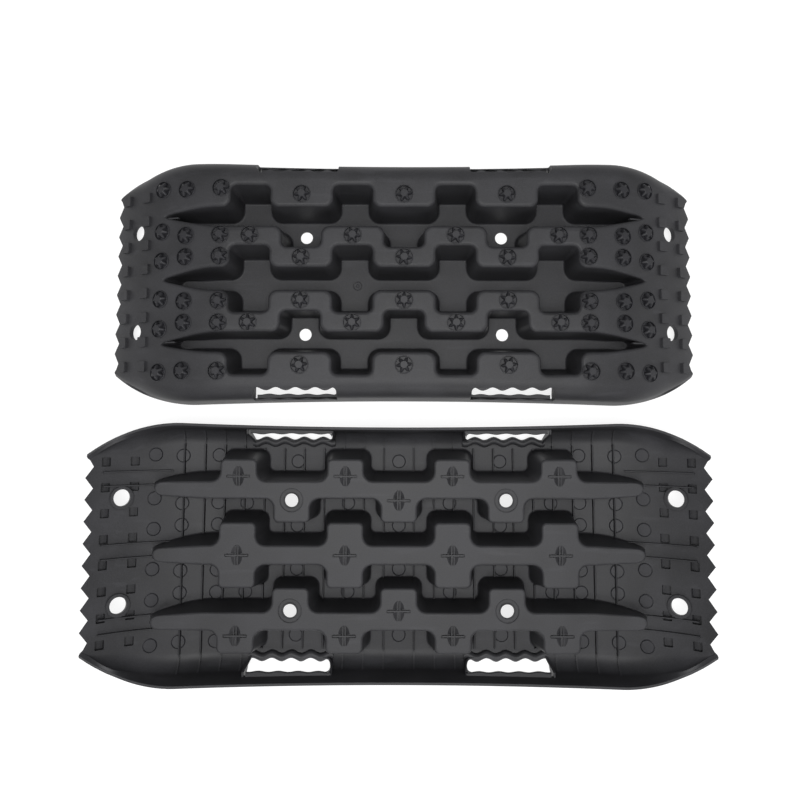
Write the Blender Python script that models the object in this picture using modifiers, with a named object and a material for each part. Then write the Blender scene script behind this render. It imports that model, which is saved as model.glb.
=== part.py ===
"""Two moulded recovery boards for a stuck wheel, lying one behind the other.

The nearer board lies upside down on its stud tops and shows its ridges, and the farther one
lies on its ridges with the studs up.  Origin: on the ground at the middle of the pair.
+X runs along both boards, +Y away from the nearer board, +Z up.
"""

import math

import bmesh
import bpy
from mathutils import Matrix, Vector

# ---- driving dimensions, metres -------------------------------------------------------------
TIP_X = 0.3164           # middle of the board to the teeth at each end
DECK_Z = 0.056           # ridge faces to the flat of the deck
STUD_RISE = 0.005        # studs above the deck
WALL = 0.003             # moulded sheet
PITCH = 0.054            # step of the pattern along the board
BOARD_SPACING = 0.281    # middle to middle of the two boards
BOARD_SHIFT = 0.0025     # each board's offset along its length, one to each side
FIT = 0.0003             # clearance between pieces that touch

# ---- the curved deck and its flange ---------------------------------------------------------
FLAT_X = 0.180           # the deck is level to here, then bends down
END_RADIUS = 0.205
WAIST_HALF = 0.127       # half width at the middle of the board
WIDEST_HALF = 0.1313
WIDEST_X = 0.225
CORNER_SWEEP = 0.145     # plan radius from the widest place towards the end
SHOULDER = 0.0195        # radius from the deck into the skirt
SKIRT_LEAN = 0.003
RIM_Z = 0.007
RIM_LEVEL_X = 0.285
RIB_DEPTH = 0.0045
STATIONS = (0.0, 0.090, 0.180, 0.206, 0.232, 0.258, 0.283, 0.303, 0.326)
SHOULDER_STEPS = 3

# ---- channels: each number pair is (at the foot, at the deck), outside the sheet ------------
BAR_MIDDLE = (0.0095, 0.0152)
ARM_MIDDLE = (0.0320, 0.0383)
BAR_SIDE_IN = (0.0555, 0.0530)
BAR_SIDE_OUT = (0.0730, 0.0797)
ARM_SIDE_IN = (0.0320, 0.0308)
ARM_SIDE_OUT = (0.0950, 0.1030)
ARM_HALF = (0.0183, 0.0240)
ROUND_CONVEX = (0.0050, 0.0095)
ROUND_CONCAVE = (0.0095, 0.0060)
FINGER_X = 0.196
FINGER_TIP_X = (0.2470, 0.2615)
FINGER_TIP_Y = (0.0655, 0.0690)
FINGER_FOOT_HALF = 0.0070
FINGER_STEPS = (0.50, 0.86)
ODD_ARMS = (-3, -1, 1, 3)
EVEN_ARMS = (-2, 0, 2)

# ---- teeth, holes, hand slots, ribs and studs ------------------------------------------------
TOOTH_PITCH = 0.02165
TOOTH_DEPTH = 0.0063
TEETH = 8
CORNER_TIP_Y = 0.0974
CORNER_BACK = (0.3095, 0.1060)
PIN_HOLE = (2 * PITCH, 0.054, 0.0135)
END_HOLE = (0.288, 0.054, 0.0166)
END_COLLAR_RADIUS, END_COLLAR_DEPTH = 0.012, 0.0026
PAST_RIM_Y = 0.145       # cutters reach out to here, beyond the widest place
ABOVE_DECK_Z = 0.070
SLOT_X = (0.070, 0.154)
SLOT_EDGE_Y = 0.1125
SLOT_WAVE = 0.00165
SLOT_PITCH = 0.0203
SLOT_CREST_X = 0.112
SLOT_FLOOR_Z = 0.028
GRIP_WIDTH = 0.008
GRIP_DEPTH = 0.010
LEDGE_Y = 0.1205
LEDGE_DEPTH = 0.004
GRIP_OVERRUN = 0.006     # how far a grip runs on past its slot at each end
SLOT_EDGE_STEPS = 12
RIB_FIRST, RIB_STEP, RIB_COUNT, RIB_THICK = 0.016, 0.0424, 6, 0.0016
STUD_SITES = [
    (x, y)
    for columns, rows in (
        ((0.0, 2 * PITCH), (0.0225, 0.090)),
        ((PITCH, 3 * PITCH), (0.046,)),
        ((0.193,), (0.0236, 0.0465, 0.0965)),
        ((0.2306,), (0.0235, 0.0462, 0.0960)),
        ((0.258,), (0.0205, 0.0520, 0.0976)),
    )
    for x in columns
    for y in rows
]
STUD_FLANGE_RADIUS = 0.009
STUD_FLANGE = 0.0008
STUD_PLUG_RADIUS = 0.0075
STUD_TOP_RADIUS = 0.0042
STUD_SIDES = 8
MOULDED_STUD_SIDES = 6


# ---- the shapes of the board, as functions of the place along it ----------------------------
def deck_height(x):
    past = max(abs(x) - FLAT_X, 0.0)
    return DECK_Z - END_RADIUS + math.sqrt(END_RADIUS**2 - past**2)


def deck_slope(x):
    """Angle by which the deck falls away from level at x, with the sign of x."""
    past = max(abs(x) - FLAT_X, 0.0)
    return math.copysign(math.asin(past / END_RADIUS), x)


def half_width(x):
    if abs(x) <= WIDEST_X:
        return WAIST_HALF + (WIDEST_HALF - WAIST_HALF) * (x / WIDEST_X) ** 2
    past = min(abs(x) - WIDEST_X, 0.72 * CORNER_SWEEP)
    return WIDEST_HALF - CORNER_SWEEP + math.sqrt(CORNER_SWEEP**2 - past**2)


def dome_section(x, depth, bottom):
    """Section of the board's outer form across X, set in by depth and closed at height bottom."""
    top = deck_height(x) - depth / math.cos(deck_slope(x))
    edge = half_width(x) - SKIRT_LEAN - depth
    radius = max(min(SHOULDER, deck_height(x) - RIM_Z) - depth, 0.0006)
    half = [
        (edge - radius * (1 - math.sin(turn)), top - radius * (1 - math.cos(turn)))
        for turn in (i * math.pi / 2 / SHOULDER_STEPS for i in range(SHOULDER_STEPS + 1))
    ]
    low = min(bottom, top - radius - 0.001)
    half.append((edge + SKIRT_LEAN, low))
    return [Vector((x, y, z)) for y, z in half] + [Vector((x, -y, z)) for y, z in reversed(half)]


# ---- helpers --------------------------------------------------------------------------------
def clear_scene():
    for thing in list(bpy.data.objects):
        bpy.data.objects.remove(thing, do_unlink=True)


def collection(name):
    made = bpy.data.collections.new(name)
    bpy.context.scene.collection.children.link(made)
    return made


def mesh_object(name, shape, group):
    mesh = bpy.data.meshes.new(name)
    shape.to_mesh(mesh)
    shape.free()
    made = bpy.data.objects.new(name, mesh)
    group.objects.link(made)
    return made


def cutter(name, shape):
    made = mesh_object(name, shape, CUTTERS)
    made.hide_render = True
    made.display_type = "WIRE"
    return made


def loft(shape, sections):
    """Adds to shape the closed solid through sections that have the same number of points."""
    rings = [[shape.verts.new(point) for point in section] for section in sections]
    faces = [shape.faces.new(rings[0]), shape.faces.new(rings[-1][::-1])]
    for near, far in zip(rings, rings[1:]):
        for i in range(len(near)):
            j = (i + 1) % len(near)
            faces.append(shape.faces.new((near[j], near[i], far[i], far[j])))
    for face in faces:
        face.normal_update()
    if sum(face.normal.dot(face.calc_center_median()) * face.calc_area() for face in faces) < 0:
        bmesh.ops.reverse_faces(shape, faces=faces)


def box(shape, low, high):
    centre = [(a + b) / 2 for a, b in zip(low, high)]
    size = [b - a for a, b in zip(low, high)]
    place = Matrix.Translation(centre) @ Matrix.Diagonal((*size, 1.0))
    bmesh.ops.create_cube(shape, size=1.0, matrix=place)


def cylinder(shape, place, radius, length, sides):
    bmesh.ops.create_cone(
        shape, cap_ends=True, segments=sides, radius1=radius, radius2=radius, depth=length, matrix=place
    )


def boolean(target, operation, other):
    step = target.modifiers.new(f"{operation.lower()}_{other.name}", "BOOLEAN")
    step.operation = operation
    step.solver = "EXACT"
    step.object = other


def evaluated_mesh(thing):
    graph = bpy.context.evaluated_depsgraph_get()
    graph.update()
    return bpy.data.meshes.new_from_object(thing.evaluated_get(graph))


def both_signs(values):
    return [sign * value for value in values for sign in (1, -1) if value or sign > 0]


def on_deck(x, y):
    """Frame whose origin is on the deck at (x, y) and whose Z is the deck's normal."""
    return Matrix.Translation((x, y, deck_height(x))) @ Matrix.Rotation(deck_slope(x), 4, "Y")


# ---- channel outlines -----------------------------------------------------------------------
def rounded(before, corner, after, radius, steps=1):
    """Points of the arc that rounds one square corner."""
    a = (before - corner).normalized()
    b = (after - corner).normalized()
    centre = corner + (a + b) * radius
    start, turn = -b * radius, -a * radius
    return [
        centre + start * math.cos(i / steps * math.pi / 2) + turn * math.sin(i / steps * math.pi / 2)
        for i in range(steps + 1)
    ]


def channel_side(sign, bar, end, arms, level, inset):
    """One long side of a channel from +X to -X: its bar at y = bar and arms out to y = end."""
    bar, end = bar - sign * inset, end - sign * inset
    half = ARM_HALF[level] - inset
    convex = max(ROUND_CONVEX[level] - inset, 0.001)
    concave = ROUND_CONCAVE[level] + inset
    points = []
    for arm in sorted(arms, reverse=True):
        x = arm * PITCH
        path = [
            Vector(place)
            for place in (
                (x + half + 1, bar), (x + half, bar), (x + half, end),
                (x - half, end), (x - half, bar), (x - half - 1, bar),
            )
        ]
        for i, radius in ((1, concave), (2, convex), (3, convex), (4, concave)):
            points += rounded(path[i - 1], path[i], path[i + 1], radius)
    return points


def finger(high, low, tip_y, level, inset):
    """Half outline of a channel's +X end, from its +Y side to its -Y side by way of the tip."""
    tip_x = FINGER_TIP_X[level] - inset * (1.0 if level == 0 else 1.3)
    start_half = (high - low) / 2
    centre = (high + low) / 2
    sides = []
    for s in (0.0, *FINGER_STEPS):
        taper = start_half + (FINGER_FOOT_HALF - start_half) * s
        half = taper * math.sqrt(1 - s**14) if level == 0 else start_half * (1 - s * s)
        x = FINGER_X + (tip_x - FINGER_X) * s
        sides.append((x, centre + (tip_y - centre) * s, max(half - inset * (1 - s**4), 0.0004)))
    plus = [Vector((x, y + half)) for x, y, half in sides]
    minus = [Vector((x, y - half)) for x, y, half in sides]
    return plus + [Vector((tip_x, tip_y))] + minus[::-1]


def channel_outline(which, level, inset):
    """Plan outline of the middle or the +Y side channel, at the foot (0) or the deck (1)."""
    if which == "middle":
        high, low, tip = BAR_MIDDLE[level], -BAR_MIDDLE[level], 0.0
        high_side = channel_side(1, high, ARM_MIDDLE[level], ODD_ARMS, level, inset)
        low_side = channel_side(-1, low, -ARM_MIDDLE[level], ODD_ARMS, level, inset)
    else:
        high, low, tip = BAR_SIDE_OUT[level], BAR_SIDE_IN[level], FINGER_TIP_Y[level]
        high_side = channel_side(1, high, ARM_SIDE_OUT[level], ODD_ARMS, level, inset)
        low_side = channel_side(-1, low, ARM_SIDE_IN[level], EVEN_ARMS, level, inset)
    end = finger(high, low, tip, level, inset)
    other_end = [Vector((-point.x, point.y)) for point in reversed(end)]
    return end[::-1] + high_side + other_end[::-1] + low_side[::-1]


def channel(shape, which, mirror, inset, bottom, top):
    """Adds a channel's tapered solid between two heights, its outline drawn in by inset."""
    foot = channel_outline(which, 0, inset)
    deck = channel_outline(which, 1, inset)
    sections = []
    for z in (bottom, top):
        share = max(z, 0.0) / DECK_Z
        points = [a.lerp(b, share) for a, b in zip(foot, deck)]
        sections.append([Vector((point.x, mirror * point.y, z)) for point in points])
    loft(shape, sections)


def add_channels(shape, inset, bottom, top):
    channel(shape, "middle", 1, inset, bottom, top)
    channel(shape, "side", 1, inset, bottom, top)
    channel(shape, "side", -1, inset, bottom, top)


# ---- cutters and added bodies of the shell --------------------------------------------------
def dome(name, depth, bottom):
    shape = bmesh.new()
    loft(shape, [dome_section(x, depth, bottom) for x in sorted(both_signs(STATIONS))])
    return cutter(name, shape)


def rib_slabs():
    shape = bmesh.new()
    for k in range(RIB_COUNT):
        for x in both_signs([RIB_FIRST + k * RIB_STEP]):
            box(shape, (x - RIB_THICK / 2, -0.2, -0.05), (x + RIB_THICK / 2, 0.2, 0.1))
    return cutter("rib_slabs", shape)


def below_rim():
    """What lies under the skirt's lower edge, which is level and falls to the ground at the ends."""
    profile = [(-TIP_X, 0.0), (-RIM_LEVEL_X, RIM_Z), (RIM_LEVEL_X, RIM_Z), (TIP_X, 0.0)]
    profile += [(TIP_X, -0.02), (-TIP_X, -0.02)]
    shape = bmesh.new()
    loft(shape, [[Vector((x, y, z)) for x, z in profile] for y in (-PAST_RIM_Y, PAST_RIM_Y)])
    return cutter("below_rim", shape)


def slot_edge(offset, x_from, x_to):
    """Wavy finger edge of a hand slot at +X +Y, from one X to another."""
    points = []
    for i in range(SLOT_EDGE_STEPS + 1):
        x = x_from + (x_to - x_from) * i / SLOT_EDGE_STEPS
        wave = SLOT_WAVE * math.cos(2 * math.pi * (x - SLOT_CREST_X) / SLOT_PITCH)
        points.append((x, SLOT_EDGE_Y + offset - wave))
    return points


def slot_cutters():
    """The hand slots, and the room below each one that the cross ribs leave free."""
    shape, under = bmesh.new(), bmesh.new()
    top = ABOVE_DECK_Z
    for sx in (1, -1):
        for sy in (1, -1):
            plan = slot_edge(0.0, *SLOT_X)
            plan = [(SLOT_X[0], plan[0][1] + 0.004)] + plan[1:]
            plan += [(SLOT_X[1] + 0.002, PAST_RIM_Y), (SLOT_X[0], PAST_RIM_Y)]
            loft(shape, [[Vector((sx * x, sy * y, z)) for x, y in plan] for z in (SLOT_FLOOR_Z, top)])
            inner, edge = sorted((sy * (SLOT_EDGE_Y - 0.0045), sy * (LEDGE_Y - FIT)))
            left, right = sorted((sx * (SLOT_X[0] + 0.001), sx * (SLOT_X[1] - 0.001)))
            box(under, (left, inner, -0.01), (right, edge, DECK_Z - GRIP_DEPTH - 0.001))
    return cutter("hand_slots", shape), cutter("slot_rib_gaps", under)


def grips():
    """Thick rounded bar behind each hand slot, and the ledge along the rim below it."""
    shape = bmesh.new()
    for sx in (1, -1):
        for sy in (1, -1):
            start, end = SLOT_X[0] - GRIP_OVERRUN, SLOT_X[1] + GRIP_OVERRUN
            plan = slot_edge(-GRIP_WIDTH, start, end) + [(end, LEDGE_Y + 0.0007), (start, LEDGE_Y + 0.0007)]
            levels = (DECK_Z - GRIP_DEPTH, ABOVE_DECK_Z)
            loft(shape, [[Vector((sx * x, sy * y, z)) for x, y in plan] for z in levels])
            inner, outer = sorted((sy * LEDGE_Y, sy * PAST_RIM_Y))
            low = (min(sx * a for a in SLOT_X), inner, SLOT_FLOOR_Z - LEDGE_DEPTH)
            high = (max(sx * a for a in SLOT_X), outer, SLOT_FLOOR_Z)
            box(shape, low, high)
    return cutter("grips", shape)


def end_collars():
    """Low rings round the end holes, square to the sloping deck."""
    shape = bmesh.new()
    length = WALL + END_COLLAR_DEPTH
    x0, y0, _ = END_HOLE
    for x in both_signs([x0]):
        for y in both_signs([y0]):
            place = on_deck(x, y) @ Matrix.Translation((0, 0, -length / 2))
            cylinder(shape, place, END_COLLAR_RADIUS, length, 14)
    return cutter("end_collars", shape)


def through_holes():
    shape = bmesh.new()
    for x0, y0, diameter in (PIN_HOLE, END_HOLE):
        for x in both_signs([x0]):
            for y in both_signs([y0]):
                cylinder(shape, Matrix.Translation((x, y, 0.02)), diameter / 2, 0.08, 12)
    return cutter("through_holes", shape)


def end_teeth():
    """What is cut away beyond the teeth and round corners of both ends."""
    shape = bmesh.new()
    for sx in (1, -1):
        points = [(TIP_X - TOOTH_DEPTH, 0.0)]
        for k in range(TEETH // 2):
            points.append((TIP_X, (k + 0.5) * TOOTH_PITCH))
            points.append((TIP_X - TOOTH_DEPTH, (k + 1) * TOOTH_PITCH))
        points += [(TIP_X - 0.0035, CORNER_TIP_Y - 0.0045), (TIP_X - 0.0005, CORNER_TIP_Y - 0.001)]
        points += [(TIP_X - 0.0012, CORNER_TIP_Y + 0.003), CORNER_BACK]
        points += [(CORNER_BACK[0], PAST_RIM_Y), (0.34, PAST_RIM_Y)]
        plan = points + [(x, -y) for x, y in reversed(points[1:])]
        loft(shape, [[Vector((sx * x, y, z)) for x, y in plan] for z in (-0.03, 0.08)])
    return cutter("end_teeth", shape)


def stud_places():
    return [(x, y) for x0, y0 in STUD_SITES for x in both_signs([x0]) for y in both_signs([y0])]


def stud_profile(name, points, sides):
    """A turned solid from (radius, height) points that run from the axis at the top to the bottom."""
    shape = bmesh.new()
    verts = [shape.verts.new((radius, 0.0, z)) for radius, z in points]
    for a, b in zip(verts, verts[1:]):
        shape.edges.new((a, b))
    mesh = bpy.data.meshes.new(name)
    shape.to_mesh(mesh)
    shape.free()
    made = bpy.data.objects.new(name, mesh)
    CUTTERS.objects.link(made)
    made.hide_render = True
    made.display_type = "WIRE"
    turn = made.modifiers.new("turned", "SCREW")
    turn.steps = turn.render_steps = sides
    turn.use_merge_vertices = True
    turn.merge_threshold = 1e-5
    turn.use_smooth_shade = False
    return made


def stud_holes():
    shape = bmesh.new()
    length = WALL + 0.006
    for x, y in stud_places():
        place = on_deck(x, y) @ Matrix.Translation((0, 0, length / 2 - WALL - 0.0001))
        cylinder(shape, place, STUD_PLUG_RADIUS + FIT, length, STUD_SIDES)
    return cutter("stud_holes", shape)


# ---- shell ----------------------------------------------------------------------------------
def shell_mesh():
    """The one-piece moulding: curved deck, three comb channels, ribs, slots, holes and teeth."""
    hollow = dome("hollow", WALL, -0.01)
    deep = dome("under_ribs", WALL + RIB_DEPTH, -0.02)
    kept = bmesh.new()
    add_channels(kept, 0.0, -0.002, 0.075)
    channels = cutter("channel_walls", kept)
    boolean(hollow, "DIFFERENCE", rib_slabs())
    boolean(hollow, "UNION", deep)
    boolean(hollow, "UNION", below_rim())
    for body in (channels, grips(), end_collars()):
        boolean(hollow, "DIFFERENCE", body)
    shell = dome("shell", 0.0, 0.0)
    shape = bmesh.new()
    add_channels(shape, WALL, WALL, 0.08)
    troughs = cutter("channel_hollows", shape)
    boolean(shell, "DIFFERENCE", hollow)
    for body in (troughs, *slot_cutters(), through_holes(), end_teeth()):
        boolean(shell, "DIFFERENCE", body)
    return evaluated_mesh(shell)


def plastic(name, colour, roughness):
    made = bpy.data.materials.new(name)
    made.use_nodes = True
    shader = made.node_tree.nodes["Principled BSDF"]
    shader.inputs["Base Color"].default_value = (*colour, 1.0)
    shader.inputs["Roughness"].default_value = roughness
    shader.inputs["Metallic"].default_value = 0.0
    return made


def place_object(name, mesh, material, matrix):
    made = bpy.data.objects.new(name, mesh)
    BOARDS.objects.link(made)
    if not mesh.materials:
        mesh.materials.append(material)
    made.matrix_world = matrix
    return made


clear_scene()
BOARDS = collection("traction_boards")
CUTTERS = collection("cutters")

shell = shell_mesh()
stud = evaluated_mesh(
    stud_profile(
        "stud_turned",
        [
            (0.0, STUD_RISE),
            (STUD_TOP_RADIUS, STUD_RISE),
            (STUD_FLANGE_RADIUS, FIT + STUD_FLANGE),
            (STUD_FLANGE_RADIUS, FIT),
            (STUD_PLUG_RADIUS, FIT),
            (STUD_PLUG_RADIUS, FIT - WALL),
            (0.0, FIT - WALL),
        ],
        STUD_SIDES,
    )
)
moulded_stud = evaluated_mesh(
    stud_profile(
        "moulded_stud_turned",
        [(0.0, STUD_RISE), (STUD_TOP_RADIUS, STUD_RISE), (STUD_FLANGE_RADIUS, 0.0), (0.0, -WALL / 2)],
        MOULDED_STUD_SIDES,
    )
)

upper = Matrix.Translation((BOARD_SHIFT, BOARD_SPACING / 2, 0.0))
over = Matrix.Translation((-BOARD_SHIFT, -BOARD_SPACING / 2, DECK_Z + STUD_RISE))
over = over @ Matrix.Rotation(math.pi, 4, "X")
board_plastic = plastic("black_board_plastic", (0.014, 0.014, 0.016), 0.48)
stud_plastic = plastic("black_stud_plastic", (0.012, 0.012, 0.013), 0.38)

board_up = place_object("board_studs_up", shell, board_plastic, upper)
sockets = stud_holes()
sockets.matrix_world = upper
boolean(board_up, "DIFFERENCE", sockets)
for number, (x, y) in enumerate(sorted(stud_places()), start=1):
    place_object(f"stud_{number:02d}", stud, stud_plastic, upper @ on_deck(x, y))

board_down = place_object("board_underside_up", shell, board_plastic, over)
shape = bmesh.new()
for x, y in stud_places():
    copy = bmesh.new()
    copy.from_mesh(moulded_stud)
    copy.transform(on_deck(x, y))
    part = bpy.data.meshes.new("one_stud")
    copy.to_mesh(part)
    copy.free()
    shape.from_mesh(part)
    bpy.data.meshes.remove(part)
moulded = cutter("moulded_studs", shape)
moulded.matrix_world = over
boolean(board_down, "UNION", moulded)
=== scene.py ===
"""A pair of moulded recovery boards: the farther one studs up, the nearer one turned over.

Every size is in metres.  The boards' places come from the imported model's boxes, and a board
is drawn once in its own frame: X along it, Y across it, Z up from the ridges to the studs.
"""

import math

import bmesh
import bpy
from mathutils import Matrix, Vector
from mathutils.geometry import delaunay_2d_cdt


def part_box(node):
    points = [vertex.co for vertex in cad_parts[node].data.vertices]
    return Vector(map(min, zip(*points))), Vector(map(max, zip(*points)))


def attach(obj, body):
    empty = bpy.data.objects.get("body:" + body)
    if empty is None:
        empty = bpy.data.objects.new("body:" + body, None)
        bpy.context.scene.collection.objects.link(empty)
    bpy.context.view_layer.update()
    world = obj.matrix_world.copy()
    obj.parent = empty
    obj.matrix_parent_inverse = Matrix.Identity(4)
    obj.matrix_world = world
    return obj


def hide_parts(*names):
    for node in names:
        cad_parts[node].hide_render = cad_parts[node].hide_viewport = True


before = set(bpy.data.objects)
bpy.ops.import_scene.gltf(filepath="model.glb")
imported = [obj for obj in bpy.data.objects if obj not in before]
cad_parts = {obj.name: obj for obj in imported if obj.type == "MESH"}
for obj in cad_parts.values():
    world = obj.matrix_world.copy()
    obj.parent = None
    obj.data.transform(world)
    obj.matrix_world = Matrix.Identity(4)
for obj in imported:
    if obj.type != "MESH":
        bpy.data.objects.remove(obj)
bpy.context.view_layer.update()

# ---- the moulding ---------------------------------------------------------------------------
TIP_X = 0.3164           # tip of the middle teeth
DECK_Z = 0.056           # top of the level deck
WALL = 0.003
PITCH = 0.054            # spacing of the channels' arms
FLAT_X = 0.180           # the deck is level as far as this
END_RADIUS = 0.205       # and bends down from there
WAIST_HALF = 0.127       # half the width at the middle
WIDEST_HALF = 0.1313
WIDEST_X = 0.225
CORNER_SWEEP = 0.145     # radius of the outline past its widest place
CORNER_SHARE = 0.72      # share of that radius at which the outline stops turning in
SHOULDER = 0.0195        # radius between deck and skirt
SHOULDER_STEPS = 9
SKIRT_LEAN = 0.003
RIM_Z = 0.007
RIM_LEVEL_X = 0.285      # past this the rim comes down to the floor
RIM_ROUND = 0.0009
THINNEST = 0.0006        # least radius or height where the skirt runs out
END_X = 0.3200           # the sheet is drawn to here, and the teeth are cut back from it
ROW_STEP = 0.006         # spacing of mesh rows where the deck is curved
CROSS_STEPS = 26         # mesh steps across the board

# ---- channels: number pairs are (at the foot, at the deck), outside the sheet ---------------
BAR_MIDDLE = (0.0095, 0.0152)
ARM_MIDDLE = (0.0320, 0.0383)
BAR_SIDE_IN = (0.0555, 0.0530)
BAR_SIDE_OUT = (0.0730, 0.0797)
ARM_SIDE_IN = (0.0320, 0.0308)
ARM_SIDE_OUT = (0.0950, 0.1030)
ARM_HALF = (0.0183, 0.0240)
ROUND_CONVEX = (0.0050, 0.0095)
ROUND_CONCAVE = (0.0095, 0.0060)
FINGER_X = 0.196         # where a channel starts to narrow
FINGER_TIP_X = (0.2470, 0.2615)
FINGER_TIP_Y = (0.0655, 0.0690)
FINGER_FOOT_HALF = 0.0070
FINGER_STEPS = (0.08, 0.16, 0.24, 0.32, 0.40, 0.48, 0.56, 0.64, 0.72, 0.80, 0.87, 0.93, 0.975)
ODD_ARMS = (-3, -1, 1, 3)
EVEN_ARMS = (-2, 0, 2)
CORNER_STEPS = 6
LEAST_ROUND = 0.0012
LIP_ROUND = 0.0035       # deck into channel wall
FLOOR_ROUND = 0.0020     # channel wall into floor
ROOT_ROUND = 0.0018      # underside of the deck into ridge wall
RIDGE_ROUND = 0.0024     # ridge wall into ridge face

# ---- teeth: each ease is (back from the point, to the side of it) ---------------------------
TOOTH_PITCH = 0.02165
TOOTH_DEPTH = 0.0063
TEETH = 8
TOOTH_TIP_EASE = (0.0009, 0.0015)
TOOTH_ROOT_EASE = (0.0007, 0.0012)
CORNER_TIP_Y = 0.0974
CORNER_TOOTH = (         # steps round the blunter outermost tooth, from (TIP_X, CORNER_TIP_Y)
    (-0.0035, -0.0045),
    (-0.0015, -0.0022),
    (-0.0007, 0.0),
    (-0.0012, 0.0028),
    (-0.0030, 0.0058),
)
CORNER_BACK = (0.3095, 0.1060)
PAST_TIP_X = 0.34

# ---- holes and hand slots -------------------------------------------------------------------
PIN_HOLE = (2 * PITCH, 0.054)
PIN_BORE = 0.00675
PIN_MOAT = (PIN_BORE + 0.0013, 0.0113)   # inner and outer radius of the groove round a pin hole
END_HOLE = (0.288, 0.054)
END_BORE = 0.0087
COLLAR_RADIUS = 0.0120
SLOT_X = (0.070, 0.154)
SLOT_EDGE_Y = 0.1147     # middle line of the wavy edge
SLOT_WAVE = 0.00165
SLOT_PITCH = 0.0203      # one finger
SLOT_CREST_X = 0.112
SLOT_END_ROUND = 0.0045
SLOT_END_Y = 0.1178
SLOT_SLANT = 0.0030
SLOT_FLOOR_Z = 0.028
END_WALL_HALF = 0.0011
END_WALL_CLEAR = 0.0045  # from the skirt's foot line, so that the wall ends inside the skirt
GRIP_WIDTH = 0.008
GRIP_DEPTH = 0.010
LEDGE_Y = 0.1197
LEDGE_DEPTH = 0.0040
LEDGE_CLEAR = 0.0028     # from the skirt's foot line, as above
PAST_RIM_Y = 0.145
BELOW_Z = -0.03          # cuts run from below the board
ABOVE_Z = 0.08           # to above it

# ---- marks on the ridge faces ---------------------------------------------------------------
MARK_SITES = [(s * PITCH, t * 0.078) for s in ODD_ARMS for t in (-1, 1)]
MARK_SITES += [(s * PITCH, 0.0) for s in ODD_ARMS]
MARK_SITES += [(0.0, 0.054), (0.0, -0.054)]
MARK_SIZE = (0.0116, 0.0205)
MARK_DEPTH = 0.0026
MARK_BOWL = (            # (radius, z) of a dish with radius and depth 1
    (1.0, -1.0),
    (1.0, 0.0),
    (0.90, 0.24),
    (0.76, 0.47),
    (0.58, 0.70),
    (0.38, 0.88),
    (0.18, 0.98),
)
MARK_GROOVE = ((0.0122, 0.0019, -0.002), (0.0119, 0.0016, 0.0016))   # (half x, half y, z)
MARK_BARS = (            # (x from the middle, half x, half y, z of the face)
    (0.0, 0.0112, 0.0008, -0.0005),
    (-0.0014, 0.0006, 0.0096, -0.0002),
    (0.0014, 0.0006, 0.0096, -0.0002),
)
MARK_BAR_ROOT = 0.0024

# ---- ribs underneath ------------------------------------------------------------------------
FINGER_RIB_Y = 0.0735
FINGER_RIB_HALF = 0.0072
FINGER_RIB_X = (0.240, 0.303)
RIB_FIRST = 0.016
RIB_STEP = 0.0212
RIB_COUNT = 11
RIB_THICK = 0.0016
RIB_DEPTH = 0.0050
RIB_SHALLOW = 0.0020     # least depth, on the ends
RIB_SHARE = 0.1          # depth as a share of the height above the floor
RIB_SLOT_Y = 0.1035      # ribs end here beside a hand slot
RIB_CELLS = 460          # steps in which a rib's way is tried for ridges
RIB_GAP = 0.0006

# ---- studs and blocks -----------------------------------------------------------------------
STUD_SITES = [
    (x, y)
    for columns, rows in (
        ((0.0, 2 * PITCH), (0.0225, 0.090)),
        ((PITCH, 3 * PITCH), (0.046,)),
        ((0.193,), (0.0236, 0.0465, 0.0965)),
        ((0.2306,), (0.0235, 0.0462, 0.0960)),
        ((0.258,), (0.0205, 0.0520, 0.0976)),
    )
    for x in columns
    for y in rows
]
STUD_RISE = 0.005
STUD_FINS = 6
STUD_SIDES = 72
STUD_SEAT = 0.0090       # radius of the hole's upper part
STUD_SHANK = 0.0074      # and of its lower part
STUD_PLUG = 0.0066       # what shows from below
STUD_RING = 0.0096       # the low ring round the stud
STUD_POCKET = 0.0015
STUD_FIN_SHARPNESS = 2.2
STUD_TURNS = (7, 30, 53)  # degrees: the studs sit at no one turn, and three stand for them all
BLOCK_X = (0.277, 0.302)
BLOCK_Y = (0.013, 0.039, 0.065, 0.091)
BLOCK_SIZE = (0.0115, 0.0110)
BLOCK_RISE = 0.0034
POCKET_SIZE = (0.0092, 0.0092)
POCKET_DEPTH = 0.0052
QUADRANTS = ((1, 1), (1, -1), (-1, 1), (-1, -1))


# ---- the board's form -----------------------------------------------------------------------
def deck_height(x):
    past = max(abs(x) - FLAT_X, 0.0)
    return DECK_Z - END_RADIUS + math.sqrt(END_RADIUS**2 - past**2)


def deck_slope(x):
    return math.copysign(math.asin(max(abs(x) - FLAT_X, 0.0) / END_RADIUS), x)


def sheet_height(x, depth):
    """Height of the surface that lies depth inside the deck's upper face."""
    return deck_height(x) - depth / math.cos(deck_slope(x))


def deck_normal(x):
    return Vector((math.sin(deck_slope(x)), 0, math.cos(deck_slope(x))))


def half_width(x):
    if abs(x) <= WIDEST_X:
        return WAIST_HALF + (WIDEST_HALF - WAIST_HALF) * (x / WIDEST_X) ** 2
    past = min(abs(x) - WIDEST_X, CORNER_SHARE * CORNER_SWEEP)
    return WIDEST_HALF - CORNER_SWEEP + math.sqrt(CORNER_SWEEP**2 - past**2)


def rim_height(x):
    past = max(abs(x) - RIM_LEVEL_X, 0.0)
    return RIM_Z * (1 - past / (TIP_X - RIM_LEVEL_X))


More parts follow.
